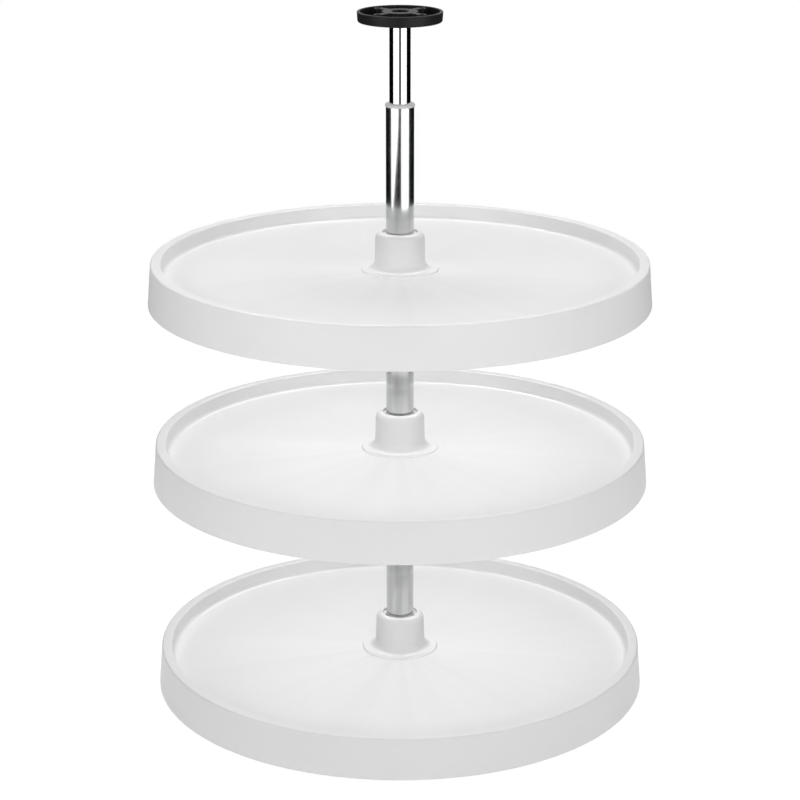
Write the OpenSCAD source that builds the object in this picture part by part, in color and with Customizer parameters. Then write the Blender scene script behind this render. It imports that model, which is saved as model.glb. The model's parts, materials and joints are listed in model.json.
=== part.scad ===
// Three-tier full-round corner carousel for a kitchen cabinet.
// Three moulded shelves stand on a telescoping post, and each turns by itself on a ball
// thrust bearing that a cross pin carries. The post stands in a base mount, and its upper
// tube slides out to meet the cabinet's top, locks with a twist and ends in a top mount.
// +Z is up, Z is the post's axis, and z = 0 is the face of the base mount that is screwed
// down. Every size is in millimetres.

/* [Carousel] */
// Outside diameter of each shelf at its lower edge
shelf_d = 457.2; // [360:0.1:720]
// Height of the bottom shelf's lower edge above the cabinet floor
floor_gap = 6; // [6:0.5:20]
// Rise from the bottom shelf to the middle shelf
rise_low = 200; // [120:1:350]
// Rise from the middle shelf to the top shelf
rise_high = 170; // [120:1:350]
// Length of upper tube that shows between the lower tube's bush and the top mount
upper_shows = 68; // [60:1:160]
// How far the upper tube can still slide in
travel_in = 50; // [10:1:55]
// How far the upper tube can still slide out
travel_out = 66; // [10:1:150]

/* [Shelf tray] */
// Height of a shelf from its lower edge to its rim
rim_h = 38.1; // [34:0.1:60]
// Width of the flat rim
rim_w = 9.4; // [8:0.1:16]
// Depth of the tray below the rim, beside the wall inside the rim
tray_depth = 14; // [8:0.5:18]
// How far the tray floor rises from that wall to the hub
floor_rise = 4; // [0:0.5:6]
// How far the skirt leans in from its lower edge to the rim
skirt_lean = 3.2; // [0:0.1:8]
// Thickness of the skirt, of the rim and of the wall inside it
skirt_t = 2.6; // [1.8:0.1:3.5]
// Thickness of the tray floor
floor_t = 2.8; // [2:0.1:4]
// Rounding of the rim's outer edge
rim_round = 1.7; // [0.6:0.1:2.4]
// Rounding where the tray floor meets its wall
foot_round = 4; // [1:0.5:6]

/* [Shelf ribs] */
// Number of radial ribs under the tray floor
rib_count = 10; // [6:1:16]
// Thickness of a radial rib
rib_t = 2.4; // [1.6:0.1:4]
// Depth of a radial rib beside the hub
rib_h = 9; // [7:0.5:10]
// Depth of a radial rib at the rim
rib_h_rim = 5; // [3:0.5:7]
// Number of ring ribs under the tray floor
ring_count = 2; // [1:1:4]
// Depth of a ring rib
ring_h = 4.5; // [2:0.5:6]
// Number of webs that stiffen the channel under the rim
web_count = 20; // [8:1:40]

/* [Shelf hub] */
// Height of the hub's lip above the shelf's lower edge
hub_h = 63; // [56:0.5:90]
// Outside diameter of the hub below its shoulder
hub_d = 44.6; // [44.4:0.1:52]
// How far the hub widens from its shoulder to its foot
hub_lean = 0.8; // [0:0.1:2]
// Rounding of the hub's shoulder
shoulder_round = 6; // [2:0.1:6]
// Rounding of the flare at the hub's foot
flare_round = 7.5; // [2:0.5:9]
// Diameter of the raised ring round the hub's foot
foot_ring_d = 71; // [66:0.5:90]
// Height of that raised ring
foot_ring_h = 1.3; // [0.8:0.1:2]
// Diameter of the recess in the hub's lip
lip_d = 32; // [30:0.1:32.2]
// Depth of the recess in the hub's lip
lip_depth = 2.4; // [1:0.1:4]
// Wall of the sleeve that guides the shelf on the post
sleeve_t = 2.6; // [1.8:0.1:3]
// Thickness of the hub's wall round the bearing pocket
pocket_wall = 2.8; // [2.5:0.1:3.5]
// Thickness of the hub's roof
roof_t = 3.2; // [2.5:0.1:5]
// Number of ribs between the sleeve and the hub's wall
hub_rib_count = 6; // [3:1:10]
// Height of the hub's lower end above the shelf's lower edge
hub_low = 10.5; // [9.5:0.5:12]

/* [Bearing] */
// Number of balls in each bearing
ball_count = 12; // [8:1:14]
// Ball diameter
ball_d = 4.76; // [4:0.01:5]
// Thickness of race behind the deepest part of its groove
race_web = 3; // [2:0.1:4]
// Gap between the two races
race_space = 2.6; // [2:0.1:3]
// Thickness of the ball cage
cage_t = 1.4; // [0.8:0.1:1.6]
// Diameter of the cross pin that carries a bearing
pin_d = 5; // [4:0.1:6]
// How far the pin stands inside the hub's lower end
pin_depth = 2; // [1:0.5:4]

/* [Post] */
// Outside diameter of the lower tube
lower_d = 25.4; // [25:0.1:25.8]
// Wall of the lower tube
lower_t = 1.2; // [0.8:0.1:1.5]
// Outside diameter of the upper tube
upper_d = 19.05; // [18.6:0.05:19.4]
// Wall of the upper tube
upper_t = 1; // [0.7:0.1:1.3]
// Length of bush inside the lower tube
bush_l = 18; // [12:0.5:30]
// Thickness of the bush's flange
bush_flange_t = 3; // [2:0.1:5]
// How far the bush's flange stands out past the lower tube
bush_lip = 0.6; // [0:0.1:1.5]

/* [Twist lock] */
// Length of core inside the upper tube
core_l = 15; // [10:0.5:25]
// Thickness of the core's end flanges
core_flange_t = 3; // [2:0.5:4]
// Diameter of the core's eccentric journal
journal_d = 10; // [8:0.1:11]
// Length of the cam ring
cam_l = 12; // [8:0.5:20]
// Offset of the journal from the post's axis
cam_throw = 0.9; // [0.6:0.1:1.2]
// Width of the slit that lets the cam ring spring onto its journal
cam_slit = 1.6; // [1:0.1:2.5]

/* [Mounts] */
// Diameter of each mount's dish
dish_d = 76.2; // [70:0.1:100]
// Height of each dish
dish_h = 9.3; // [8:0.1:12]
// Thickness of a dish's plate
dish_plate = 2.4; // [1.6:0.1:3.5]
// Thickness of a dish's wall
dish_wall = 2.7; // [1.8:0.1:4]
// Diameter of the boss in the middle of a dish
boss_d = 32; // [31.6:0.1:36]
// Thickness of the web that the tube's end meets
socket_web = 3; // [2:0.1:4]
// Diameter of the hole through that web
web_hole_d = 15.6; // [8:0.1:16]
// Wall of the neck round a tube
neck_wall = 3.2; // [2.4:0.1:4]
// Length of the base mount's neck above its dish
base_neck = 3.9; // [2:0.1:4.5]
// Length of the top mount's neck below its dish
top_neck = 4; // [2:0.5:10]
// Diameter of the circle that the screw holes lie on
screw_circle_d = 53; // [50:0.5:56]
// Number of screw holes
screw_count = 4; // [3:1:6]
// Diameter of a screw hole
screw_hole_d = 4.5; // [3.5:0.1:5]
// Diameter of the boss round a screw hole
screw_boss_d = 8.5; // [8:0.1:10]
// Width of the arms between the bosses
arm_w = 6.4; // [4:0.1:8]

/* [Clearances] */
// Radial gap of a tube that turns or slides in its guide
slide_gap = 0.06; // [0.03:0.01:0.1]
// Radial gap of a piece that is pressed or glued in place
fit_gap = 0.02; // [0.01:0.01:0.05]
// Radial gap between the post and what turns round it
turn_gap = 0.35; // [0.3:0.05:0.6]
// Gap between a ball and its groove
ball_gap = 0.05; // [0.03:0.01:0.1]
// Gap at the ends of a sliding or turning piece
end_gap = 0.2; // [0.1:0.05:0.4]
// Room left at each end of the upper tube's travel
stop_gap = 3.5; // [1:0.5:8]

/* [Hidden] */

$fn = 96;
// Largest turn between two points of a rounded corner, in degrees
arc_step = 10;
// How far a cut runs past the face it opens
over = 1;
// How far a rib sinks into the wall that it grows from
root = 0.6;
// Rounding of small moulded edges
edge_round = 0.6;
white_plastic = "whitesmoke";
black_plastic = "#1c1c1e";
chrome_steel = "silver";
bright_steel = "lightsteelblue";
natural_nylon = "#d9d8d2";

// Post radii
lower_r = lower_d / 2;
lower_bore_r = lower_r - lower_t;
upper_r = upper_d / 2;
upper_bore_r = upper_r - upper_t;
pin_r = pin_d / 2;

// Heights of the shelves' lower edges
shelf_z = [floor_gap, floor_gap + rise_low, floor_gap + rise_low + rise_high];

// Bearing heights above a shelf's lower edge, and its radii
pin_z = hub_low + pin_depth + pin_r;
groove_r = ball_d / 2 + ball_gap;
ball_z = pin_z + pin_r + race_web + groove_r;
seat_z = ball_z + groove_r + race_web;
pocket_r = hub_d / 2 - pocket_wall;
guide_r = lower_r + turn_gap;
post_race_r = pocket_r - turn_gap;
ball_circle_r = (guide_r + post_race_r) / 2;

// Shelf levels and radii
floor_top = rim_h - tray_depth;
floor_low = floor_top - floor_t;
skirt_r = shelf_d / 2;
rim_r = skirt_r - skirt_lean;
tray_r = rim_r - rim_w;
// How far the wall inside the rim leans in from the rim to the tray floor
wall_lean = 1;
floor_r = tray_r - wall_lean;
hub_foot_r = hub_d / 2 + hub_lean;
shell_r = max(hub_foot_r, pocket_r + pocket_wall);
foot_ring_r = foot_ring_d / 2;

// Rise of the tray floor at radius r above its level beside the wall
function rise_at(r) = floor_rise * (floor_r - r) / (floor_r - shell_r);

foot_ring_top = floor_top + rise_at(foot_ring_r) + foot_ring_h;

// Heights on the post, with the upper tube as it is pictured
top_pin_top = shelf_z[2] + pin_z + pin_r;
core_z = top_pin_top + stop_gap + travel_in;
cam_z = core_z + core_flange_t + end_gap;
upper_z = cam_z + cam_l + end_gap + core_flange_t;
lower_end_z = upper_z + travel_out + stop_gap + bush_l;
bush_top_z = lower_end_z + bush_flange_t;
top_dish_z = bush_top_z + upper_shows + top_neck;
top_z = top_dish_z + dish_h;

// Cam ring: it bears on the lower tube's bore when its own throw adds to the journal's
cam_r = lower_bore_r - 2 * cam_throw - slide_gap;

echo(height = top_z, shelf_heights = shelf_z, ball_circle = 2 * ball_circle_r);

// ---- Outlines -----------------------------------------------------------------------

function unit(v) = v / norm(v);

// Points of the corner at b, given as [x, y, radius], between its neighbours a and c
function corner(a, b, c) =
    b[2] == 0 ? [[b[0], b[1]]] :
    let (tip = [b[0], b[1]],
         to_a = unit([a[0], a[1]] - tip),
         to_c = unit([c[0], c[1]] - tip),
         half = acos(to_a * to_c) / 2,
         centre = tip + unit(to_a + to_c) * b[2] / sin(half),
         first = tip + to_a * b[2] / tan(half) - centre,
         last = tip + to_c * b[2] / tan(half) - centre,
         turn = sign(cross(first, last)) * (180 - 2 * half),
         steps = ceil(abs(turn) / arc_step),
         start = atan2(first[1], first[0]))
    [for (i = [0:steps]) centre + b[2] * [cos(start + turn * i / steps),
                                          sin(start + turn * i / steps)]];

// Closed outline with each corner rounded by its own radius
function rounded(points) =
    let (n = len(points))
    [for (i = [0:n - 1]) each corner(points[(i + n - 1) % n], points[i], points[(i + 1) % n])];

module revolve(points) rotate_extrude() polygon(rounded(points));

module around(count) for (i = [0:count - 1]) rotate(360 * i / count) children();

// Ring between two radii and two heights
module ring(outer_r, inner_r, low, high) rotate_extrude()
    translate([inner_r, low]) square([outer_r - inner_r, high - low]);

// ---- Shelves ------------------------------------------------------------------------

// Skirt, rim, tray floor and hub as one wall of even thickness
shelf_outline = [
    [skirt_r, 0, edge_round],
    [rim_r, rim_h, rim_round],
    [tray_r, rim_h, edge_round * 2],
    [floor_r, floor_top, foot_round],
    [foot_ring_r, floor_top + rise_at(foot_ring_r), edge_round],
    [foot_ring_r - foot_ring_h / 2, foot_ring_top, edge_round],
    [hub_foot_r, foot_ring_top, flare_round],
    [hub_d / 2, hub_h, shoulder_round],
    [lip_d / 2, hub_h, edge_round / 2],
    [lip_d / 2, hub_h - lip_depth, edge_round],
    [guide_r, hub_h - lip_depth, edge_round],
    [guide_r, seat_z, 0],
    [guide_r + sleeve_t, seat_z, 0],
    [guide_r + sleeve_t, hub_h - lip_depth - roof_t, 0],
    [pocket_r, hub_h - lip_depth - roof_t, 0],
    [pocket_r, hub_low, 0],
    [shell_r, hub_low, edge_round],
    [shell_r, floor_low + floor_rise, 0],
    [floor_r + skirt_t, floor_low + rise_at(floor_r + skirt_t), edge_round],
    [tray_r + skirt_t, rim_h - skirt_t, edge_round],
    [rim_r - skirt_t, rim_h - skirt_t, edge_round],
    [skirt_r - skirt_t, 0, edge_round]
];

// Radial rib, deep at the hub and shallower towards the rim
module radial_rib() rotate([90, 0, 0]) translate([0, 0, -rib_t / 2]) linear_extrude(rib_t)
    polygon([
        [shell_r - root, floor_low + floor_rise + root],
        [shell_r - root, floor_low + floor_rise - rib_h],
        [floor_r + root, floor_low - rib_h_rim],
        [floor_r + root, floor_low + root]
    ]);

// Web across the channel between the tray's wall and the skirt
module channel_web() rotate([90, 0, 0]) translate([0, 0, -rib_t / 2]) linear_extrude(rib_t)
    polygon([
        [floor_r + skirt_t - root, floor_low],
        [tray_r + skirt_t - root, rim_h - skirt_t + root],
        [rim_r - skirt_t + root, rim_h - skirt_t + root],
        [rim_r - skirt_t + skirt_lean * (rim_h - floor_low) / rim_h + root, floor_low]
    ]);

// Rib between the guide sleeve and the hub's wall; the bearing's race seats on its end
module hub_rib() translate([guide_r + sleeve_t - root, -rib_t / 2, seat_z])
    cube([pocket_r - guide_r - sleeve_t + 2 * root, rib_t,
          hub_h - lip_depth - roof_t + root - seat_z]);

module ring_rib(r) translate([0, 0, floor_low + rise_at(r)])
    ring(r + rib_t / 2, r - rib_t / 2, -ring_h, root);

module shelf(level) color(white_plastic) translate([0, 0, shelf_z[level]]) {
    revolve(shelf_outline);
    around(rib_count) rotate(180 / rib_count) radial_rib();
    around(web_count) rotate(180 / web_count) channel_web();
    around(hub_rib_count) hub_rib();
    for (i = [1:ring_count])
        ring_rib(shell_r + (tray_r - shell_r) * i / (ring_count + 1));
}

// ---- Bearings -----------------------------------------------------------------------

// Race pressed into the shelf's hub, with its groove facing down
module shelf_race(level) color(natural_nylon) translate([0, 0, shelf_z[level]])
    rotate_extrude() difference() {
        translate([guide_r, ball_z + race_space / 2])
            square([pocket_r - fit_gap - guide_r, seat_z - ball_z - race_space / 2]);
        translate([ball_circle_r, ball_z]) circle(groove_r);
    }

// Race that sits over the cross pin, with its groove facing up
module post_race(level) color(natural_nylon) translate([0, 0, shelf_z[level]])
    difference() {
        rotate_extrude() difference() {
            translate([lower_r + slide_gap, pin_z - pin_r])
                square([post_race_r - lower_r - slide_gap,
                        ball_z - race_space / 2 - pin_z + pin_r]);
            translate([ball_circle_r, ball_z]) circle(groove_r);
        }
        translate([-pocket_r, 0, pin_z]) rotate([0, 90, 0])
            cylinder(r = pin_r + fit_gap, h = 2 * pocket_r);
        translate([-pocket_r, -pin_r - fit_gap, pin_z - pin_r - over])
            cube([2 * pocket_r, 2 * (pin_r + fit_gap), pin_r + over]);
    }

module balls(level) color(bright_steel) translate([0, 0, shelf_z[level] + ball_z])
    around(ball_count) translate([ball_circle_r, 0, 0]) sphere(ball_d / 2);

// Ring that spaces the balls
module ball_cage(level) color(natural_nylon) translate([0, 0, shelf_z[level] + ball_z])
    difference() {
        ring(post_race_r, guide_r, -cage_t / 2, cage_t / 2);
        around(ball_count) translate([ball_circle_r, 0, -cage_t / 2 - over])
            cylinder(r = groove_r + slide_gap, h = cage_t + 2 * over, $fn = 48);
    }

// Cross pin through the lower tube, inside the width of the race that sits on it
pin_reach = post_race_r - edge_round;

module pin(level) color(bright_steel) translate([0, 0, shelf_z[level] + pin_z])
    rotate([0, 90, 0]) revolve([
        [0, -pin_reach, 0],
        [pin_r, -pin_reach, edge_round],
        [pin_r, pin_reach, edge_round],
        [0, pin_reach, 0]
    ]);

// ---- Post ---------------------------------------------------------------------------

// Lower tube, cross-drilled for each shelf's pin
module lower_tube() color(chrome_steel) difference() {
    ring(lower_r, lower_bore_r, socket_web, lower_end_z);
    for (z = shelf_z) translate([-lower_r - over, 0, z + pin_z]) rotate([0, 90, 0])
        cylinder(r = pin_r + fit_gap, h = 2 * (lower_r + over), $fn = 48);
}

// Flanged bush that closes the lower tube and guides the upper one
module tube_bush() color(natural_nylon) revolve([
    [upper_r + slide_gap, lower_end_z - bush_l, 0],
    [lower_bore_r - fit_gap, lower_end_z - bush_l, edge_round],
    [lower_bore_r - fit_gap, lower_end_z, 0],
    [lower_r + bush_lip, lower_end_z, edge_round / 2],
    [lower_r + bush_lip, bush_top_z, edge_round * 2],
    [upper_r + slide_gap, bush_top_z, edge_round / 2]
]);

module upper_tube() color(chrome_steel)
    ring(upper_r, upper_bore_r, upper_z, top_z - socket_web);

// Plug in the upper tube's lower end, with the eccentric journal of the twist lock
module lock_core() color(bright_steel) {
    translate([0, 0, core_z]) cylinder(r = upper_r, h = core_flange_t);
    translate([cam_throw, 0, core_z]) cylinder(d = journal_d, h = upper_z - core_z);
    translate([0, 0, upper_z - core_flange_t]) cylinder(r = upper_r, h = core_flange_t);
    translate([0, 0, upper_z]) cylinder(r = upper_bore_r - fit_gap, h = core_l);
}

// Split cam ring on the journal; turned out, its thick side bears on the lower tube
module lock_cam() color(natural_nylon) translate([cam_throw, 0, cam_z]) difference() {
    translate([cam_throw, 0, 0]) cylinder(r = cam_r, h = cam_l);
    translate([0, 0, -over])
        cylinder(r = journal_d / 2 + slide_gap, h = cam_l + 2 * over);
    translate([-cam_r - over, -cam_slit / 2, -over])
        cube([cam_r + over, cam_slit, cam_l + 2 * over]);
}

// ---- Mounts -------------------------------------------------------------------------

// Dish with its open face at z = 0, a socket for a tube's end in its middle boss, and
// arms out to the screw bosses
module mount_dish(tube_r, neck) difference() {
    socket_r = tube_r + slide_gap;
    wall_in = dish_d / 2 - dish_wall;
    union() {
        revolve([
            [dish_d / 2, 0, edge_round],
            [dish_d / 2 - edge_round, dish_h, edge_round * 3],
            [socket_r + neck_wall, dish_h, edge_round],
            [socket_r + neck_wall, dish_h + neck, edge_round],
            [socket_r, dish_h + neck, edge_round / 2],
            [socket_r, socket_web, 0],
            [web_hole_d / 2, socket_web, 0],
            [web_hole_d / 2, 0, 0],
            [boss_d / 2, 0, edge_round / 2],
            [boss_d / 2, dish_h - dish_plate, 0],
            [wall_in, dish_h - dish_plate, edge_round],
            [wall_in, 0, edge_round / 2]
        ]);
        around(screw_count) rotate(180 / screw_count) {
            translate([screw_circle_d / 2, 0, 0])
                cylinder(d = screw_boss_d, h = dish_h - dish_plate + root, $fn = 48);
            translate([boss_d / 2 - root, -arm_w / 2, 0])
                cube([(screw_circle_d - boss_d) / 2, arm_w, dish_h - dish_plate + root]);
        }
    }
    around(screw_count) rotate(180 / screw_count) translate([screw_circle_d / 2, 0, -over])
        cylinder(d = screw_hole_d, h = dish_h + 2 * over, $fn = 48);
}

module base_mount() color(black_plastic) mount_dish(lower_r, base_neck);

module top_mount() color(black_plastic)
    translate([0, 0, top_z]) mirror([0, 0, 1]) mount_dish(upper_r, top_neck);

// ---- Assembly -----------------------------------------------------------------------

base_mount();
lower_tube();
tube_bush();
upper_tube();
lock_core();
lock_cam();
top_mount();

shelf(0);  // bottom_shelf
shelf_race(0);  // bottom_shelf_race
balls(0);  // bottom_balls
ball_cage(0);  // bottom_ball_cage
post_race(0);  // bottom_post_race
pin(0);  // bottom_pin

shelf(1);  // middle_shelf
shelf_race(1);  // middle_shelf_race
balls(1);  // middle_balls
ball_cage(1);  // middle_ball_cage
post_race(1);  // middle_post_race
pin(1);  // middle_pin

shelf(2);  // top_shelf
shelf_race(2);  // top_shelf_race
balls(2);  // top_balls
ball_cage(2);  // top_ball_cage
post_race(2);  // top_post_race
pin(2);  // top_pin
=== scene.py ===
import json
import math

import bmesh
import bpy
from mathutils import Matrix, Vector


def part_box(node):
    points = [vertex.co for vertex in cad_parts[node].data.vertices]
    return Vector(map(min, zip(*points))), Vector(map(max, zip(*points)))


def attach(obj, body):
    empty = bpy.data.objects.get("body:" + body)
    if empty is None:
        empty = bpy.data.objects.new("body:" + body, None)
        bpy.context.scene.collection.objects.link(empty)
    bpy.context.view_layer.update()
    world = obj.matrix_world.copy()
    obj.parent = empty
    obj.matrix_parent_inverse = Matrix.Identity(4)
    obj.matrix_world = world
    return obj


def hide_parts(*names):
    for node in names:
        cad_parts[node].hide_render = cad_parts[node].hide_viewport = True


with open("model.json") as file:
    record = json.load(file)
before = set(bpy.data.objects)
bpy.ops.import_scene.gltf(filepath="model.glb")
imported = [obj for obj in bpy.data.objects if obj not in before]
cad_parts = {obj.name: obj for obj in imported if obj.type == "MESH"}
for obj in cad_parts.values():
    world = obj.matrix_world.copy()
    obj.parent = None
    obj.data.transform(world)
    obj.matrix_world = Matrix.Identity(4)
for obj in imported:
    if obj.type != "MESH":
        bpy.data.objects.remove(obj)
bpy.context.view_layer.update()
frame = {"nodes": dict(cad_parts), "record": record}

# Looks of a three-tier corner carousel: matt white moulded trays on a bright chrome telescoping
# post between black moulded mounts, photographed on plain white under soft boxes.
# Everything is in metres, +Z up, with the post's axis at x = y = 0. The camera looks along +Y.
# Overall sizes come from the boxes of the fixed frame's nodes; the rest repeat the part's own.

MM = 0.001

# ---- Sizes --------------------------------------------------------------------------------

LEVELS = ("bottom", "middle", "top")
LOWER_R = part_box("lower_tube")[1].x
UPPER_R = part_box("upper_tube")[1].x
TRAY_LOW, TRAY_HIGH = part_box("bottom_shelf")
RACE_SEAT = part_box("bottom_shelf_race")[1].z - TRAY_LOW.z

# Tray: skirt, rim and floor, with heights above its lower edge
SKIRT_R = TRAY_HIGH.x
SKIRT_LEAN = 3.2 * MM
SKIRT_T = 2.6 * MM
RIM_H = 38.1 * MM
RIM_W = 9.4 * MM
RIM_R = SKIRT_R - SKIRT_LEAN
RIM_ROUND = 1.7 * MM
WALL_LEAN = 1 * MM
WALL_R = RIM_R - RIM_W
WALL_FOOT_R = WALL_R - WALL_LEAN
FOOT_ROUND = 4 * MM
FLOOR_DEPTH = 14 * MM
FLOOR_T = 2.8 * MM
FLOOR_Z = RIM_H - FLOOR_DEPTH
UNDER_Z = FLOOR_Z - FLOOR_T
FLOOR_RISE = 4 * MM
EDGE_ROUND = 0.6 * MM
TURN_GAP = 0.35 * MM

# Hub of the tray
HUB_H = TRAY_HIGH.z - TRAY_LOW.z
HUB_R = 22.3 * MM
HUB_LEAN = 0.8 * MM
HUB_FOOT_R = HUB_R + HUB_LEAN
HUB_WALL = 2.8 * MM
SHOULDER_ROUND = 6 * MM
FLARE_ROUND = 7.5 * MM
FOOT_RING_R = 35.5 * MM
FOOT_RING_H = 1.3 * MM
LIP_R = 16 * MM
LIP_DEPTH = 2.4 * MM
LIP_Z = HUB_H - LIP_DEPTH
ROOF_T = 3.2 * MM
ROOF_Z = LIP_Z - ROOF_T
HUB_LOW = 10.5 * MM
POCKET_R = HUB_R - HUB_WALL
GUIDE_R = LOWER_R + TURN_GAP
SLEEVE_WALL = 2.6 * MM
SLEEVE_R = GUIDE_R + SLEEVE_WALL

# Ribs under the tray. ROOT is how far a rib reaches into what it stands on.
RIB_COUNT = 10
RIB_T = 2.4 * MM
RIB_TIP_T = RIB_T * 0.8
RIB_H = 9 * MM
RIB_H_RIM = 5 * MM
RIB_FLARE = 0.9 * MM
FLARE_END_T = RIB_T * 0.97
RING_COUNT = 2
RING_H = 4.5 * MM
WEB_COUNT = 20
HUB_RIB_COUNT = 6
ROOT = 0.6 * MM

# Tubes and bush
LOWER_WALL = 1.2 * MM
UPPER_WALL = 1 * MM
LOWER_BORE_R = LOWER_R - LOWER_WALL
UPPER_BORE_R = UPPER_R - UPPER_WALL
TUBE_EDGE = 0.25 * MM
BUSH_FLANGE_T = 3 * MM
SLIDE_GAP = 0.06 * MM
FIT_GAP = 0.02 * MM

# Mount dishes
DISH_H = 9.3 * MM
DISH_PLATE_T = 2.4 * MM
DISH_PLATE_Z = DISH_H - DISH_PLATE_T
DISH_WALL = 2.7 * MM
BOSS_R = 16 * MM
SOCKET_WEB = 3 * MM
WEB_HOLE_R = 7.8 * MM
NECK_WALL = 3.2 * MM
SCREW_CIRCLE_R = 26.5 * MM
SCREW_COUNT = 4
SCREW_HOLE_R = 2.25 * MM
SCREW_BOSS_R = 4.25 * MM
ARM_W = 6.4 * MM
ARM_SET_BACK = 0.05 * MM

# ---- Outlines and solids ------------------------------------------------------------------

LATHE_SIDES = 192
DRILL_SIDES = 48
ARC_STEP = math.radians(9)
PIN_ARC_STEP = math.radians(8)
BOSS_ARC_STEP = math.radians(10)
SHARP_ANGLE = math.radians(31)  # an edge that turns more than this looks sharp
WELD = 1e-7     # points nearer to each other than this are joined
REACH = 1 * MM  # how far a cutter runs past the face that it opens


def arc(centre, radius, start, turn, step=ARC_STEP):
    """Points along an arc, both ends included."""
    steps = max(1, math.ceil(abs(turn) / step))
    angles = (start + turn * i / steps for i in range(steps + 1))
    return [centre + radius * Vector((math.cos(a), math.sin(a))) for a in angles]


def rounded(corners):
    """Closed outline of (across, up, radius) corners, each turned into an arc."""
    outline = []
    for i, (across, up, radius) in enumerate(corners):
        tip = Vector((across, up))
        if radius == 0:
            outline.append(tip)
            continue
        to_last = (Vector(corners[i - 1][:2]) - tip).normalized()
        to_next = (Vector(corners[(i + 1) % len(corners)][:2]) - tip).normalized()
        half = to_last.angle(to_next) / 2
        centre = tip + (to_last + to_next).normalized() * radius / math.sin(half)
        first = tip + to_last * radius / math.tan(half) - centre
        last = tip + to_next * radius / math.tan(half) - centre
        turn = math.atan2(first.x * last.y - first.y * last.x, first.dot(last))
        outline += arc(centre, radius, math.atan2(first.y, first.x), turn)
    return outline


def solid(name, verts, faces):
    """Closed mesh with its faces turned outwards."""
    mesh = bpy.data.meshes.new(name)
    mesh.from_pydata(verts, [], faces)
    work = bmesh.new()
    work.from_mesh(mesh)
    bmesh.ops.remove_doubles(work, verts=work.verts, dist=WELD)
    bmesh.ops.recalc_face_normals(work, faces=work.faces)
    work.to_mesh(mesh)
    work.free()
    piece = bpy.data.objects.new(name, mesh)
    bpy.context.scene.collection.objects.link(piece)
    return piece


def lathe(name, outline, sides=LATHE_SIDES):
    """Solid turned round Z from a closed outline of (radius, height) points."""
    rows = len(outline)
    turns = [2 * math.pi * i / sides for i in range(sides)]
    verts = [(r * math.cos(a), r * math.sin(a), z) for a in turns for r, z in outline]
    faces = [
        (i * rows + j, (i + 1) % sides * rows + j,
         (i + 1) % sides * rows + (j + 1) % rows, i * rows + (j + 1) % rows)
        for i in range(sides) for j in range(rows)
    ]
    return solid(name, verts, faces)


def prism(name, rings):
    """Solid between two outlines with the same number of points."""
    n = len(rings[0])
    faces = [tuple(range(n)), tuple(range(2 * n - 1, n - 1, -1))]
    faces += [(i, (i + 1) % n, n + (i + 1) % n, n + i) for i in range(n)]
    return solid(name, rings[0] + rings[1], faces)


def fin(name, outline, turn):
    """Flat rib through Z, turned round it. Its outline gives (radius, height, thickness)."""
    cos, sin = math.cos(turn), math.sin(turn)
    return prism(name, [
        [(r * cos - side * t * sin, r * sin + side * t * cos, z) for r, z, t in outline]
        for side in (-0.5, 0.5)
    ])


def combine(piece, others, operation="UNION"):
    """Joins the other solids to piece, or cuts them from it, and removes them."""
    tools = bpy.data.collections.new("tools")
    for other in others:
        tools.objects.link(other)
    modifier = piece.modifiers.new("combine", "BOOLEAN")
    modifier.operation = operation
    modifier.solver = "MANIFOLD"
    modifier.operand_type = "COLLECTION"
    modifier.collection = tools
    graph = bpy.context.evaluated_depsgraph_get()
    mesh = bpy.data.meshes.new_from_object(piece.evaluated_get(graph))
    piece.modifiers.clear()
    piece.data = mesh
    for other in others:
        bpy.data.objects.remove(other)
    bpy.data.collections.remove(tools)
    return piece


def finish_piece(piece, material, node, body):
    """Smooth shading up to the sharp edges, a material, and the piece's place in the frame."""
    piece.data.materials.clear()
    piece.data.materials.append(material)
    for face in piece.data.polygons:
        face.use_smooth = True
    piece.data.set_sharp_from_angle(angle=SHARP_ANGLE)
    even = piece.modifiers.new("even_normals", "WEIGHTED_NORMAL")
    even.keep_sharp = True
    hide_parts(node)
    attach(piece, body)


# ---- Materials ----------------------------------------------------------------------------


class Paint:
    """A value in a material's node tree, or with no socket the tree itself.
    Arithmetic on a value adds Math nodes."""

    def __init__(self, tree, socket=None):
        self.tree = tree
        self.socket = socket

    def node(self, kind, settings=None, inputs=None, output=0):
        """Adds a node: its settings first, then the values or links of its sockets."""
        made = self.tree.nodes.new("ShaderNode" + kind)
        for key, value in (settings or {}).items():
            setattr(made, key, value)
        for key, value in (inputs or {}).items():
            if isinstance(value, Paint):
                self.tree.links.new(value.socket, made.inputs[key])
            else:
                made.inputs[key].default_value = value
        return Paint(self.tree, made.outputs[output])

    def math(self, operation, *inputs):
        return self.node("Math", {"operation": operation}, dict(enumerate(inputs)))

    def __add__(self, other):
        return self.math("ADD", self, other)

    def __sub__(self, other):
        return self.math("SUBTRACT", self, other)

    def __rsub__(self, other):
        return self.math("SUBTRACT", other, self)

    def __mul__(self, other):
        return self.math("MULTIPLY", self, other)

    def __pow__(self, other):
        return self.math("POWER", self, other)

    __radd__ = __add__
    __rmul__ = __mul__


def new_material(name, **constants):
    """Material with a Principled shader, and its tree. Constants go straight to sockets."""
    material = bpy.data.materials.new(name)
    material.use_nodes = True
    shader = material.node_tree.nodes["Principled BSDF"]
    for socket, value in constants.items():
        shader.inputs[socket.replace("_", " ")].default_value = value
    return material, Paint(material.node_tree)


def feed(material, **values):
    """Links values to the Principled shader's sockets."""
    tree = material.node_tree
    for socket, value in values.items():
        shader_socket = tree.nodes["Principled BSDF"].inputs[socket.replace("_", " ")]
        tree.links.new(value.socket, shader_socket)
    return material


def noise(paint, place, scale, detail=2.0):
    """Smooth noise about 0.5."""
    return paint.node("TexNoise", inputs={"Vector": place, "Scale": scale, "Detail": detail})


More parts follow.
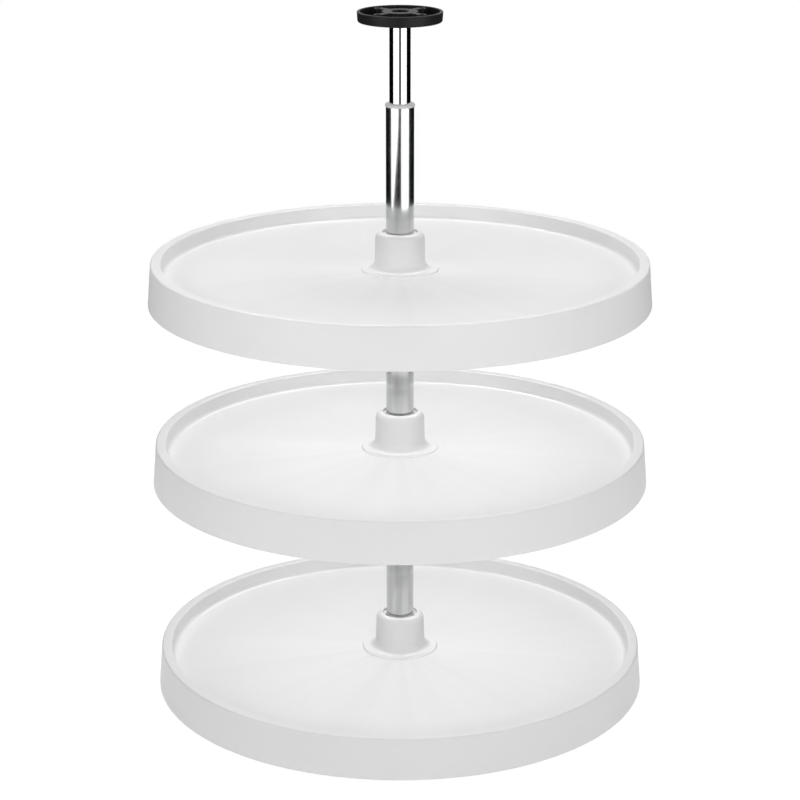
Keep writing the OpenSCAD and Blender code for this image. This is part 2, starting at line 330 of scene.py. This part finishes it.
def between(paint, factor, low, high):
    """Number between low and high."""
    return paint.node("MapRange", inputs={"Value": factor, "To Min": low, "To Max": high})


def grey(paint, factor, dark, light):
    """Colour between two colours."""
    inputs = {"Factor": factor, 6: (*dark, 1), 7: (*light, 1)}
    return paint.node("Mix", {"data_type": "RGBA"}, inputs, output=2)


def bump(paint, height, depth, strength):
    """Normal of a surface that is up to depth high where height is 1."""
    inputs = {"Height": height, "Distance": depth, "Strength": strength}
    return paint.node("Bump", inputs=inputs)


# Marks on a tray's floor: the depths of its flow streaks and of the painted shade over its sink
# marks, as shares of the step from its dark tone to its light one, and how narrow the sink marks
# are
STREAK_TONE = 1.8
PAINTED_SINK_SHADE = 0.16
SINK_SHARPNESS = 6.0


def tray_plastic():
    """Matt white polymer: a fine moulded grain, and on the floor faint flow streaks and, as painted
    shade, the sink marks over the radial ribs, both strongest beside the hub."""
    material, paint = new_material("tray_plastic", IOR=1.49, Specular_IOR_Level=0.22)
    place = paint.node("TexCoord", output="Object")
    x = paint.node("SeparateXYZ", inputs={0: place}, output="X")
    y = paint.node("SeparateXYZ", inputs={0: place}, output="Y")
    radius = (x * x + y * y) ** 0.5
    inputs = {"Value": radius, "From Min": WALL_FOOT_R - FOOT_ROUND, "From Max": FOOT_RING_R,
              "To Min": 0.0, "To Max": 1.0}
    off_hub = paint.math("GREATER_THAN", radius, FOOT_RING_R)
    on_floor = paint.node("MapRange", inputs=inputs) ** 0.5 * off_hub
    level = paint.node("Mapping", inputs={"Vector": place, "Scale": (1.0, 1.0, 0.0)})
    outward = paint.node("VectorMath", {"operation": "NORMALIZE"}, {0: level})
    streaks = (noise(paint, outward, scale=6.0, detail=4.0) - 0.5) * on_floor
    ribs = paint.math("ARCTAN2", y, x) * RIB_COUNT
    # Painted shade: the floor's colour is darker in narrow bands over the ribs, standing in for the
    # shading of the sink marks' shallow dents
    sink_shade_over_rib = (0.5 - 0.5 * paint.math("COSINE", ribs)) ** SINK_SHARPNESS * on_floor
    cloud = noise(paint, place, scale=9.0, detail=3.0)
    grain = noise(paint, place, scale=1800.0)
    # Random cloud and flow streaks, minus the painted sink-mark shade
    tone = cloud + STREAK_TONE * streaks - PAINTED_SINK_SHADE * sink_shade_over_rib
    return feed(
        material,
        Base_Color=grey(paint, tone, dark=(0.82,) * 3, light=(0.865,) * 3),
        Roughness=between(paint, grain * 0.5 + cloud * 0.5, low=0.38, high=0.50),
        Normal=bump(paint, grain, depth=0.03 * MM, strength=0.6),
    )


DRAW_SCALE_ALONG = 4.0  # low, so that the draw lines run along the tube


def chrome(name, draw_scale, smooth, rough, sideways):
    """Bright plate over tube, with its faint lengthwise draw lines and painted reflection bands,
    lighter and darker along the tube, in its colour. sideways says how much more the draw lines
    blur reflections round the tube than along it."""
    material, paint = new_material(name, Metallic=1.0, Anisotropic=sideways)
    place = paint.node("TexCoord", output="Object")
    stretch = (draw_scale, draw_scale, DRAW_SCALE_ALONG)
    along = paint.node("Mapping", inputs={"Vector": place, "Scale": stretch})
    lines = noise(paint, along, scale=1.0, detail=3.0)
    # Painted reflection: broad bands along the tube, lighter and darker in the plate's colour
    painted_reflection_bands = noise(paint, along, scale=0.22, detail=1.0)
    haze = noise(paint, place, scale=35.0, detail=3.0)
    return feed(
        material,
        Base_Color=grey(paint, painted_reflection_bands, dark=(0.50, 0.503, 0.51), light=(0.78, 0.783, 0.79)),
        Roughness=between(paint, lines * haze, low=smooth, high=rough),
        Normal=bump(paint, lines, depth=0.002 * MM, strength=0.3),
    )


def moulded(name, dark, light, smooth, rough, grain_scale, grain_depth, **constants):
    """Plain moulded polymer with a slightly uneven tone and a fine grain."""
    material, paint = new_material(name, **constants)
    place = paint.node("TexCoord", output="Object")
    cloud = noise(paint, place, scale=70.0, detail=3.0)
    grain = noise(paint, place, grain_scale)
    return feed(
        material,
        Base_Color=grey(paint, cloud, dark, light),
        Roughness=between(paint, cloud * 0.5 + grain * 0.5, low=smooth, high=rough),
        Normal=bump(paint, grain, grain_depth, strength=0.6),
    )


def bright_metal(name, dark, light, smooth, rough):
    """Bare metal with a slightly uneven tone and shine."""
    material, paint = new_material(name, Metallic=1.0)
    place = paint.node("TexCoord", output="Object")
    cloud = noise(paint, place, scale=220.0, detail=4.0)
    return feed(
        material,
        Base_Color=grey(paint, cloud, dark, light),
        Roughness=between(paint, cloud, low=smooth, high=rough),
    )


MATERIALS = {
    "tray_plastic": tray_plastic(),
    "lower_chrome": chrome(
        "lower_chrome", draw_scale=900.0, smooth=0.11, rough=0.23, sideways=0.85),
    "upper_chrome": chrome(
        "upper_chrome", draw_scale=1100.0, smooth=0.02, rough=0.10, sideways=0.0),
    "mount_plastic": moulded(
        "mount_plastic", dark=(0.005,) * 3, light=(0.009,) * 3, smooth=0.36, rough=0.52,
        grain_scale=2400.0, grain_depth=0.05 * MM, Specular_IOR_Level=0.15),
    "bush_nylon": moulded(
        "bush_nylon", dark=(0.60,) * 3, light=(0.66,) * 3, smooth=0.34, rough=0.46,
        grain_scale=3000.0, grain_depth=0.02 * MM),
    "race_nylon": moulded(
        "race_nylon", dark=(0.74, 0.73, 0.67), light=(0.80, 0.79, 0.74), smooth=0.3, rough=0.45,
        grain_scale=3000.0, grain_depth=0.02 * MM),
    "ball_steel": bright_metal(
        "ball_steel", dark=(0.60, 0.60, 0.62), light=(0.70, 0.70, 0.72), smooth=0.05, rough=0.14),
    "zinc_steel": bright_metal(
        "zinc_steel", dark=(0.50, 0.51, 0.53), light=(0.62, 0.63, 0.65), smooth=0.22, rough=0.42),
}

# ---- Pieces -------------------------------------------------------------------------------


def rise_at(r):
    """Rise of the tray floor at a radius above its level beside the wall."""
    return FLOOR_RISE * (WALL_FOOT_R - r) / (WALL_FOOT_R - HUB_FOOT_R)


FOOT_RING_Z = FLOOR_Z + rise_at(FOOT_RING_R) + FOOT_RING_H
CHANNEL_R = WALL_FOOT_R + SKIRT_T

TRAY_CORNERS = [
    (SKIRT_R, 0, EDGE_ROUND),
    (RIM_R, RIM_H, RIM_ROUND),
    (WALL_R, RIM_H, EDGE_ROUND * 2),
    (WALL_FOOT_R, FLOOR_Z, FOOT_ROUND),
    (FOOT_RING_R, FLOOR_Z + rise_at(FOOT_RING_R), EDGE_ROUND),
    (FOOT_RING_R - FOOT_RING_H / 2, FOOT_RING_Z, EDGE_ROUND),
    (HUB_FOOT_R, FOOT_RING_Z, FLARE_ROUND),
    (HUB_R, HUB_H, SHOULDER_ROUND),
    (LIP_R, HUB_H, EDGE_ROUND / 2),
    (LIP_R, LIP_Z, EDGE_ROUND),
    (GUIDE_R, LIP_Z, EDGE_ROUND),
    (GUIDE_R, RACE_SEAT, 0),
    (SLEEVE_R, RACE_SEAT, 0),
    (SLEEVE_R, ROOF_Z, EDGE_ROUND),
    (POCKET_R, ROOF_Z, EDGE_ROUND),
    (POCKET_R, HUB_LOW, 0),
    (HUB_FOOT_R, HUB_LOW, EDGE_ROUND),
    (HUB_FOOT_R, UNDER_Z + FLOOR_RISE, EDGE_ROUND),
    (CHANNEL_R, UNDER_Z + rise_at(CHANNEL_R), EDGE_ROUND),
    (WALL_R + SKIRT_T, RIM_H - SKIRT_T, EDGE_ROUND),
    (RIM_R - SKIRT_T, RIM_H - SKIRT_T, EDGE_ROUND),
    (SKIRT_R - SKIRT_T, 0, EDGE_ROUND),
]


def radial_ribs():
    """Ribs under the floor, each with a small flare where it meets the floor."""
    inner, outer = HUB_FOOT_R - ROOT, WALL_FOOT_R + ROOT
    at_hub = UNDER_Z + FLOOR_RISE
    wide = RIB_T + 4 * RIB_FLARE
    blade = [(inner, at_hub + ROOT, RIB_T), (inner, at_hub - RIB_H, RIB_TIP_T),
             (outer, UNDER_Z - RIB_H_RIM, RIB_TIP_T), (outer, UNDER_Z + ROOT, RIB_T)]
    flare = [(inner, at_hub + ROOT, wide), (inner, at_hub - RIB_FLARE, FLARE_END_T),
             (outer, UNDER_Z - RIB_FLARE, FLARE_END_T), (outer, UNDER_Z + ROOT, wide)]
    turns = [math.pi * (2 * i + 1) / RIB_COUNT for i in range(RIB_COUNT)]
    return [fin("rib", outline, turn) for turn in turns for outline in (blade, flare)]


def channel_webs():
    """Webs between the tray's wall and its skirt, up to the rim."""
    skirt_at_under = SKIRT_R - SKIRT_T - SKIRT_LEAN * UNDER_Z / RIM_H
    top_z = RIM_H - SKIRT_T + ROOT
    web = [(CHANNEL_R - ROOT, UNDER_Z, RIB_TIP_T), (WALL_R + SKIRT_T - ROOT, top_z, RIB_T),
           (RIM_R - SKIRT_T + ROOT, top_z, RIB_T), (skirt_at_under + ROOT, UNDER_Z, RIB_TIP_T)]
    turns = [math.pi * (2 * i + 1) / WEB_COUNT for i in range(WEB_COUNT)]
    return [fin("web", web, turn) for turn in turns]


def hub_ribs():
    """Ribs between the hub's sleeve and its wall, with the bearing's race on their ends."""
    rib = [(r, z, RIB_T) for r, z in (
        (SLEEVE_R - ROOT, RACE_SEAT), (POCKET_R + ROOT, RACE_SEAT),
        (POCKET_R + ROOT, ROOF_Z + ROOT), (SLEEVE_R - ROOT, ROOF_Z + ROOT))]
    turns = [2 * math.pi * i / HUB_RIB_COUNT for i in range(HUB_RIB_COUNT)]
    return [fin("hub_rib", rib, turn) for turn in turns]


def ring_ribs():
    """Ring ribs under the floor."""
    made = []
    for i in range(1, RING_COUNT + 1):
        r = HUB_FOOT_R + (WALL_R - HUB_FOOT_R) * i / (RING_COUNT + 1)
        under = UNDER_Z + rise_at(r)
        made.append(lathe("ring", rounded([
            (r - RIB_T / 2, under + ROOT, 0),
            (r + RIB_T / 2, under + ROOT, 0),
            (r + RIB_TIP_T / 2, under - RING_H, EDGE_ROUND / 2),
            (r - RIB_TIP_T / 2, under - RING_H, EDGE_ROUND / 2),
        ])))
    return made


def make_trays():
    pattern = lathe("tray", rounded(TRAY_CORNERS))
    combine(pattern, radial_ribs() + channel_webs() + hub_ribs() + ring_ribs())
    for level in LEVELS:
        tray = pattern.copy()
        tray.data = pattern.data.copy()
        tray.name = tray.data.name = level + "_tray"
        tray.data.transform(Matrix.Translation((0, 0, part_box(level + "_shelf")[0].z)))
        bpy.context.scene.collection.objects.link(tray)
        finish_piece(tray, MATERIALS["tray_plastic"], level + "_shelf",
                     level + "_tray")
    bpy.data.objects.remove(pattern)


def tube(name, outer_r, bore_r, node):
    """Tube as tall as its node, with broken edges."""
    low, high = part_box(node)
    return lathe(name, rounded([
        (outer_r, low.z, TUBE_EDGE), (outer_r, high.z, TUBE_EDGE),
        (bore_r, high.z, TUBE_EDGE), (bore_r, low.z, TUBE_EDGE),
    ]))


def pin_drill(level):
    """Cutter for the cross hole that a level's pin goes through."""
    low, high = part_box(level + "_pin")
    radius = (high.z - low.z) / 2 + FIT_GAP
    centre = Vector((0, (low.z + high.z) / 2))
    hole = arc(centre, radius, 0, 2 * math.pi, PIN_ARC_STEP)[1:]
    rings = [[(x, y, z) for y, z in hole] for x in (-LOWER_R - REACH, LOWER_R + REACH)]
    return prism("drill", rings)


def make_post():
    lower = tube("post_lower", LOWER_R, LOWER_BORE_R, "lower_tube")
    combine(lower, [pin_drill(level) for level in LEVELS], "DIFFERENCE")
    finish_piece(lower, MATERIALS["lower_chrome"], "lower_tube", "post")
    upper = tube("post_upper", UPPER_R, UPPER_BORE_R, "upper_tube")
    finish_piece(upper, MATERIALS["upper_chrome"], "upper_tube", "upper_post")
    low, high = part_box("tube_bush")
    flange_z = high.z - BUSH_FLANGE_T
    bush = lathe("post_bush", rounded([
        (UPPER_R + SLIDE_GAP, low.z, 0),
        (LOWER_BORE_R - FIT_GAP, low.z, EDGE_ROUND),
        (LOWER_BORE_R - FIT_GAP, flange_z, 0),
        (high.x, flange_z, EDGE_ROUND / 2),
        (high.x, high.z, EDGE_ROUND * 2),
        (UPPER_R + SLIDE_GAP, high.z, EDGE_ROUND / 2),
    ]))
    finish_piece(bush, MATERIALS["bush_nylon"], "tube_bush", "post")


def arm(turn):
    """Arm from a dish's boss with a round screw boss at its end, and a rounded lower edge."""
    meet = math.asin(ARM_W / 2 / SCREW_BOSS_R)
    inset = EDGE_ROUND / 2
    rings = []
    for shrink, z in ((inset, ARM_SET_BACK), (0, ARM_SET_BACK + inset), (0, DISH_PLATE_Z + ROOT)):
        end = arc(Vector((SCREW_CIRCLE_R, 0)), SCREW_BOSS_R - shrink, meet - math.pi,
                  2 * math.pi - 2 * meet, BOSS_ARC_STEP)
        side = ARM_W / 2 - shrink
        outline = [Vector((BOSS_R - ROOT, side)), Vector((BOSS_R - ROOT, -side)), *end]
        spin = Matrix.Rotation(turn, 2)
        rings.append([(*(spin @ point), z) for point in outline])
    n = len(rings[0])
    verts = [point for outline in rings for point in outline]
    faces = [tuple(range(n)), tuple(range(3 * n - 1, 2 * n - 1, -1))]
    faces += [(row * n + i, row * n + (i + 1) % n, (row + 1) * n + (i + 1) % n, (row + 1) * n + i)
              for row in (0, 1) for i in range(n)]
    return solid("arm", verts, faces)


def screw_drill(turn):
    """Cutter for a screw hole, with a small lead-in at either end."""
    lead = EDGE_ROUND / 2
    wide = SCREW_HOLE_R + lead
    drill = lathe("drill", [
        (0, -REACH), (wide, -REACH), (wide, ARM_SET_BACK), (SCREW_HOLE_R, ARM_SET_BACK + lead),
        (SCREW_HOLE_R, DISH_H - lead), (wide, DISH_H), (wide, DISH_H + REACH), (0, DISH_H + REACH),
    ], DRILL_SIDES)
    centre = (SCREW_CIRCLE_R * math.cos(turn), SCREW_CIRCLE_R * math.sin(turn), 0)
    drill.data.transform(Matrix.Translation(centre))
    return drill


def make_mount(name, node, body, tube_r, place):
    """Dish, open at z = 0, with a tube's socket in its boss and arms to its screw bosses."""
    low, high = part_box(node)
    dish_r = high.x
    neck_z = high.z - low.z
    socket_r = tube_r + SLIDE_GAP
    dish = lathe(name, rounded([
        (dish_r, 0, EDGE_ROUND),
        (dish_r - EDGE_ROUND, DISH_H, EDGE_ROUND * 3),
        (socket_r + NECK_WALL, DISH_H, EDGE_ROUND),
        (socket_r + NECK_WALL, neck_z, EDGE_ROUND),
        (socket_r, neck_z, EDGE_ROUND / 2),
        (socket_r, SOCKET_WEB, 0),
        (WEB_HOLE_R, SOCKET_WEB, 0),
        (WEB_HOLE_R, 0, EDGE_ROUND / 2),
        (BOSS_R, 0, EDGE_ROUND / 2),
        (BOSS_R, DISH_PLATE_Z, EDGE_ROUND),
        (dish_r - DISH_WALL, DISH_PLATE_Z, EDGE_ROUND),
        (dish_r - DISH_WALL, 0, EDGE_ROUND / 2),
    ]))
    turns = [2 * math.pi * (i + 0.5) / SCREW_COUNT for i in range(SCREW_COUNT)]
    combine(dish, [arm(turn) for turn in turns])
    combine(dish, [screw_drill(turn) for turn in turns], "DIFFERENCE")
    dish.data.transform(place)
    finish_piece(dish, MATERIALS["mount_plastic"], node, body)


def coat_fixed_pieces():
    """The bearings, pins and twist lock are shown as they are in the frame."""
    for part in frame["record"]["subparts"]:
        node = frame["nodes"][part["node"]]
        if not node.hide_render:
            node.data.materials.clear()
            node.data.materials.append(MATERIALS[part["material_slot"]])


# ---- Camera, floor and light --------------------------------------------------------------

# Camera fitted to the photograph's outlines, for a frame FRAME_PX wide
FRAME_PX = 800
SENSOR_MM = 36
FOCAL_PX = 2389
CAMERA_PLACE = (0, -2.1, 0.947)
CAMERA_TILT = math.radians(17.64)

STAGE_HALF = 1.5
FLOOR_WHITE = (0.9, 0.9, 0.9, 1)
FLOOR_GLOW = 1.28
FLOOR_GLOW_SHARE = 0.74

# Lamps that light the matt faces: azimuth either way, elevation, size, and a radiance for the
# bottom, middle and top tray. The photograph shows no tray in the shade of another, so each
# tray has its own set. The lower two need less from above, because the tray over them sends
# much of the light back. The lamps below a tray's level light its skirt and not its floor.
# All of them face a point on the axis, AIM_BELOW_TRAY under their tray.
LAMP_DISTANCE = 2.1
AIM_BELOW_TRAY = 76 * MM
SKIRT_BOX, FRONT_BOX, TOP_BOX = (1.5, 0.5), (1.5, 0.65), (0.8, 0.8)
TRAY_LAMPS = (
    (0, -14, SKIRT_BOX, (1.6, 0.5, 0.3)),
    (45, -14, SKIRT_BOX, (0.4, 1.8, 1.5)),
    (90, -14, SKIRT_BOX, (2.8, 2.6, 1.3)),
    (0, 21, FRONT_BOX, (3.2, 2.5, 2.1)),
    (45, 21, FRONT_BOX, (2.0, 2.8, 4.2)),
    (90, 21, FRONT_BOX, (0, 0, 0.7)),
    (135, 66, TOP_BOX, (2.85, 2.75, 4.3)),
    (180, 66, TOP_BOX, (3.8, 4.0, 4.4)),
)
# Lamp above and behind that only the trays' shine shows, along their rims and floor edges
SHINE_LAMP = (180, 60, (2.0, 1.2), (16, 16, 15))

# Boxes and cards that only the chrome's and the plastics' shine shows. A card's rows give a
# height and the azimuths of its two edges there.
BOX_AZIMUTH = 43
BOX_DISTANCE = 1.9
BOX_HEIGHT = 1.0
BOX_SIZE = (2.0, 2.1)
BOX_RADIANCE = 1.7
CARD_BLACK = (0.004, 0.004, 0.004, 1)
CARD_TOP = 0.62
CARD_STEPS = 16
SIDE_CARD_DISTANCE = 0.95
SIDE_CARD_EDGES = (76, 164)
FRONT_CARD_DISTANCE = 1.2
FRONT_CARD_ROWS = ((0, -88, 9), (0.18, -82, 9), (0.24, -38, 9), (0.33, -8, 9), (CARD_TOP, -7, 9))


def aimed(name, data, azimuth, distance, height, target_z):
    """Object round the carousel, facing its axis. Azimuth 0 is towards the camera, and
    it grows to the right."""
    holder = bpy.data.objects.new(name, data)
    turn = math.radians(azimuth)
    holder.location = (distance * math.sin(turn), -distance * math.cos(turn), height)
    to_target = Vector((0, 0, target_z)) - holder.location
    holder.rotation_euler = to_target.to_track_quat("-Z", "Y").to_euler()
    bpy.context.scene.collection.objects.link(holder)
    return holder


def soft_box(name, size, radiance, place, target_z, unseen):
    """Area lamp at (azimuth, distance, height) that the named rays don't meet."""
    lamp = bpy.data.lights.new(name, "AREA")
    lamp.shape = "RECTANGLE"
    lamp.size, lamp.size_y = size
    lamp.energy = radiance * math.pi * size[0] * size[1]
    holder = aimed(name, lamp, *place, target_z)
    for ray in ("camera", "transmission", *unseen):
        setattr(holder, "visible_" + ray, False)
    return holder


def link_group(name, pieces, state):
    """Collection that includes or excludes pieces for a lamp's light or its shadows."""
    group = bpy.data.collections.new(name)
    for piece in pieces:
        group.objects.link(piece)
    for member in group.collection_objects:
        member.light_linking.link_state = state
    return group


def light_tray(level, floor):
    """A tray's own lamps. Neither the trays above it nor the floor shade it from them, and
    the top tray's lamps light the mounts, the post and the floor too."""
    index = LEVELS.index(level)
    trays = [bpy.data.objects[name + "_tray"] for name in LEVELS]
    only_tray = link_group("only_" + level, [trays[index]], "INCLUDE")
    if level == LEVELS[-1]:
        lit = link_group("not_lower", trays[:-1], "EXCLUDE")
    else:
        lit = only_tray
    no_shade = link_group("above_" + level, [*trays[index + 1:], floor], "EXCLUDE")
    floor_only = link_group("floor_only", [floor], "INCLUDE")
    target_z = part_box(level + "_shelf")[0].z - AIM_BELOW_TRAY
    lamps = [(*lamp, "glossy", lit, no_shade) for lamp in TRAY_LAMPS if lamp[-1][index]]
    lamps.append((*SHINE_LAMP, "diffuse", only_tray, floor_only))
    for azimuth, elevation, size, radiances, unseen, receivers, blockers in lamps:
        rise = math.radians(elevation)
        across, up = LAMP_DISTANCE * math.cos(rise), LAMP_DISTANCE * math.sin(rise)
        for turn in sorted({azimuth, -azimuth % 360}):
            lamp = soft_box(f"lamp_{level}_{turn}", size, radiances[index],
                            (turn, across, target_z + up), target_z, (unseen,))
            lamp.light_linking.receiver_collection = receivers
            lamp.light_linking.blocker_collection = blockers


def black_card(name, rows, distance, material):
    """Upright curved card that only reflections show, from rows of a height and the azimuths
    of its two edges there."""
    verts = []
    for z, start, end in rows:
        for i in range(CARD_STEPS + 1):
            turn = math.radians(start + (end - start) * i / CARD_STEPS)
            verts.append((distance * math.sin(turn), -distance * math.cos(turn), z))
    across = CARD_STEPS + 1
    faces = [(row * across + i, row * across + i + 1, (row + 1) * across + i + 1,
              (row + 1) * across + i) for row in range(len(rows) - 1) for i in range(CARD_STEPS)]
    mesh = bpy.data.meshes.new(name)
    mesh.from_pydata(verts, [], faces)
    mesh.materials.append(material)
    card = bpy.data.objects.new(name, mesh)
    for ray in ("camera", "diffuse", "transmission", "volume_scatter", "shadow"):
        setattr(card, "visible_" + ray, False)
    bpy.context.scene.collection.objects.link(card)


def shown_plainly(paint):
    """1 for the rays that show the background as it is, 0 for the rays that light the object."""
    camera = paint.node("LightPath", output="Is Camera Ray")
    glossy = paint.node("LightPath", output="Is Glossy Ray")
    through = paint.node("LightPath", output="Is Transmission Ray")
    return paint.math("MAXIMUM", paint.math("MAXIMUM", camera, glossy), through)


def make_floor():
    mesh = bpy.data.meshes.new("floor")
    corners = [(x * STAGE_HALF, y * STAGE_HALF, 0) for x, y in ((-1, -1), (1, -1), (1, 1), (-1, 1))]
    mesh.from_pydata(corners, [], [(0, 1, 2, 3)])
    floor = bpy.data.objects.new("floor", mesh)
    bpy.context.scene.collection.objects.link(floor)
    material, paint = new_material("floor_white", Base_Color=FLOOR_WHITE, Roughness=1.0,
                                   Specular_IOR_Level=0.0)
    tree = material.node_tree
    glow = paint.node("Emission", inputs={"Strength": FLOOR_GLOW})
    matt = Paint(tree, tree.nodes["Principled BSDF"].outputs[0])
    inputs = {0: shown_plainly(paint) * FLOOR_GLOW_SHARE, 1: matt, 2: glow}
    mixed = paint.node("MixShader", inputs=inputs)
    tree.links.new(mixed.socket, tree.nodes["Material Output"].inputs["Surface"])
    mesh.materials.append(material)
    return floor


def make_world():
    world = bpy.data.worlds.new("studio")
    bpy.context.scene.world = world
    world.use_nodes = True
    tree = world.node_tree
    paint = Paint(tree)
    tree.nodes["Background"].inputs["Color"].default_value = (1, 1, 1, 1)
    tree.links.new(shown_plainly(paint).socket, tree.nodes["Background"].inputs["Strength"])


def make_studio():
    floor = make_floor()
    for level in LEVELS:
        light_tray(level, floor)
    for name, azimuth in (("box_left", -BOX_AZIMUTH), ("box_right", BOX_AZIMUTH)):
        soft_box(name, BOX_SIZE, BOX_RADIANCE, (azimuth, BOX_DISTANCE, BOX_HEIGHT), BOX_HEIGHT,
                 ("diffuse",))
    black, _ = new_material("card_black", Base_Color=CARD_BLACK, Roughness=1.0,
                            Specular_IOR_Level=0.0)
    near, far = SIDE_CARD_EDGES
    for name, start, end in (("card_left", -far, -near), ("card_right", near, far)):
        rows = ((0, start, end), (CARD_TOP, start, end))
        black_card(name, rows, SIDE_CARD_DISTANCE, black)
    black_card("card_front", FRONT_CARD_ROWS, FRONT_CARD_DISTANCE, black)
    make_world()


def make_camera():
    lens = bpy.data.cameras.new("camera")
    lens.sensor_width = SENSOR_MM
    lens.lens = FOCAL_PX * SENSOR_MM / FRAME_PX
    camera = bpy.data.objects.new("camera", lens)
    camera.location = CAMERA_PLACE
    camera.rotation_euler = (math.pi / 2 - CAMERA_TILT, 0, 0)
    bpy.context.scene.collection.objects.link(camera)
    bpy.context.scene.camera = camera


# ---- The scene ----------------------------------------------------------------------------

make_trays()
make_post()
top_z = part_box("top_mount")[1].z
turned_over = Matrix.Translation((0, 0, top_z)) @ Matrix.Rotation(math.pi, 4, "X")
make_mount("mount_base", "base_mount", "post", LOWER_R, Matrix.Identity(4))
make_mount("mount_top", "top_mount", "ceiling_mount", UPPER_R, turned_over)
coat_fixed_pieces()
make_studio()
make_camera()
bpy.context.scene.view_settings.view_transform = "Standard"
